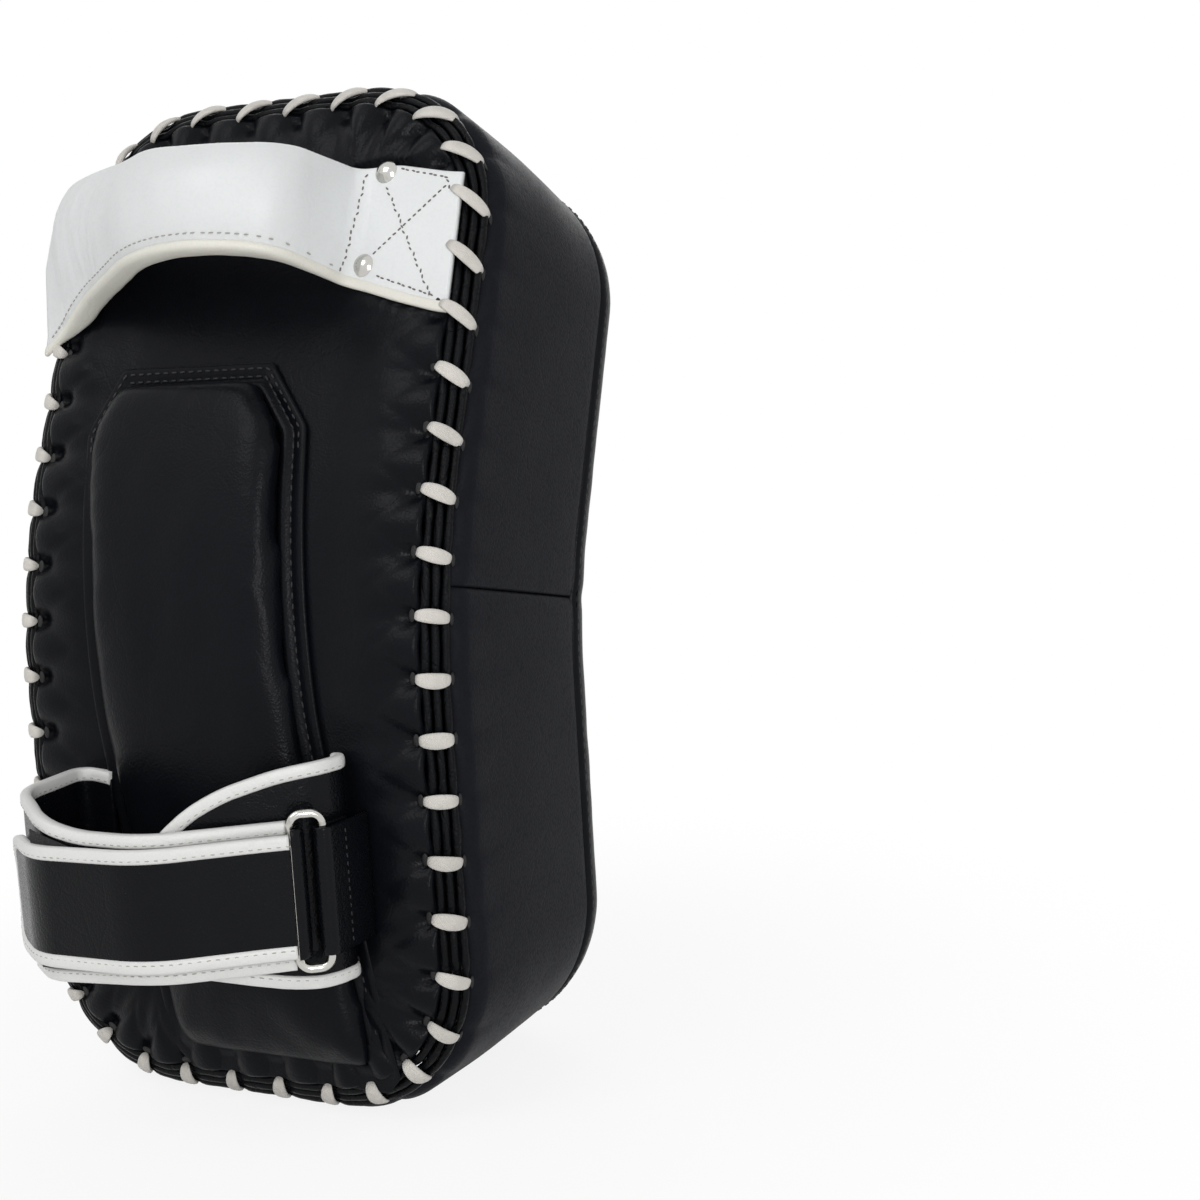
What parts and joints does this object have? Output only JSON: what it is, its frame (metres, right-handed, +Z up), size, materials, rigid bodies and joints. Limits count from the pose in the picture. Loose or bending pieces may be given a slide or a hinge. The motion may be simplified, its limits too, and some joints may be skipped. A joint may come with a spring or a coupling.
{
  "type": "thai pad",
  "caption": "Curved padded strike shield with a laced back, raised forearm pad, padded hand grip and a hook-and-loop arm strap through a wire ring.",
  "frame": {"origin": "centre of the flat lower end, on the surface that the pad stands on", "axes": "+Z up the standing pad, X across it, strike face towards -Y, grip and strap on +Y"},
  "size_m": [0.21, 0.2524, 0.4073],
  "materials": {
    "leather_black": "semi-matte black synthetic leather",
    "leather_roll": "black leather, turned and rolled",
    "leather_white": "smooth white leather",
    "binding_white": "folded white leather binding",
    "piping_cream": "cream rolled piping",
    "lace_white": "off-white leather lace",
    "print_grey": "light grey printed target",
    "foam": "dense closed-cell foam",
    "hook_and_loop": "black hook-and-loop tape",
    "nickel": "bright nickel plating"
  },
  "bodies": {
    "pad": {"strike_panel": "leather_black", "target_ring": "print_grey", "target_disc": "print_grey", "gusset_upper": "leather_black", "gusset_lower": "leather_black", "back_panel": "leather_black", "gusset_edge_roll": "leather_roll", "corded_welt": "leather_roll", "back_panel_edge_roll": "leather_roll", "foam_strike_layer": "foam", "foam_core": "foam", "foam_back_layer": "foam", "forearm_pad_cover": "leather_black", "forearm_pad_foam": "foam", "edge_lace": "lace_white", "grip_outer": "leather_white", "grip_foam": "foam", "grip_lining": "leather_white", "grip_piping": "piping_cream", "grip_rivet_upper": "nickel", "grip_rivet_lower": "nickel", "rivet_washer_upper": "nickel", "rivet_washer_lower": "nickel", "strap_base": "leather_black", "strap_base_binding": "binding_white", "loop_tape": "hook_and_loop", "ring_keeper": "leather_black", "tongue": "leather_black", "tongue_binding": "binding_white"},
    "ring": {"strap_ring": "nickel", "strap_fold": "leather_black"},
    "flap": {"strap_flap": "leather_black", "flap_binding": "binding_white", "hook_tape": "hook_and_loop"}
  },
  "joints": [
    {"name": "ring_swivel", "type": "hinge", "parent": "pad", "child": "ring", "pos_m": [-0.06289, 0.08646, 0.103], "axis": [0, 0, 1], "range_deg": [0, 20]},
    {"name": "flap_peel", "type": "hinge", "parent": "ring", "child": "flap", "pos_m": [-0.05628, 0.09825, 0.103], "axis": [0, 0, 1], "range_deg": [0, 150]}
  ]
}
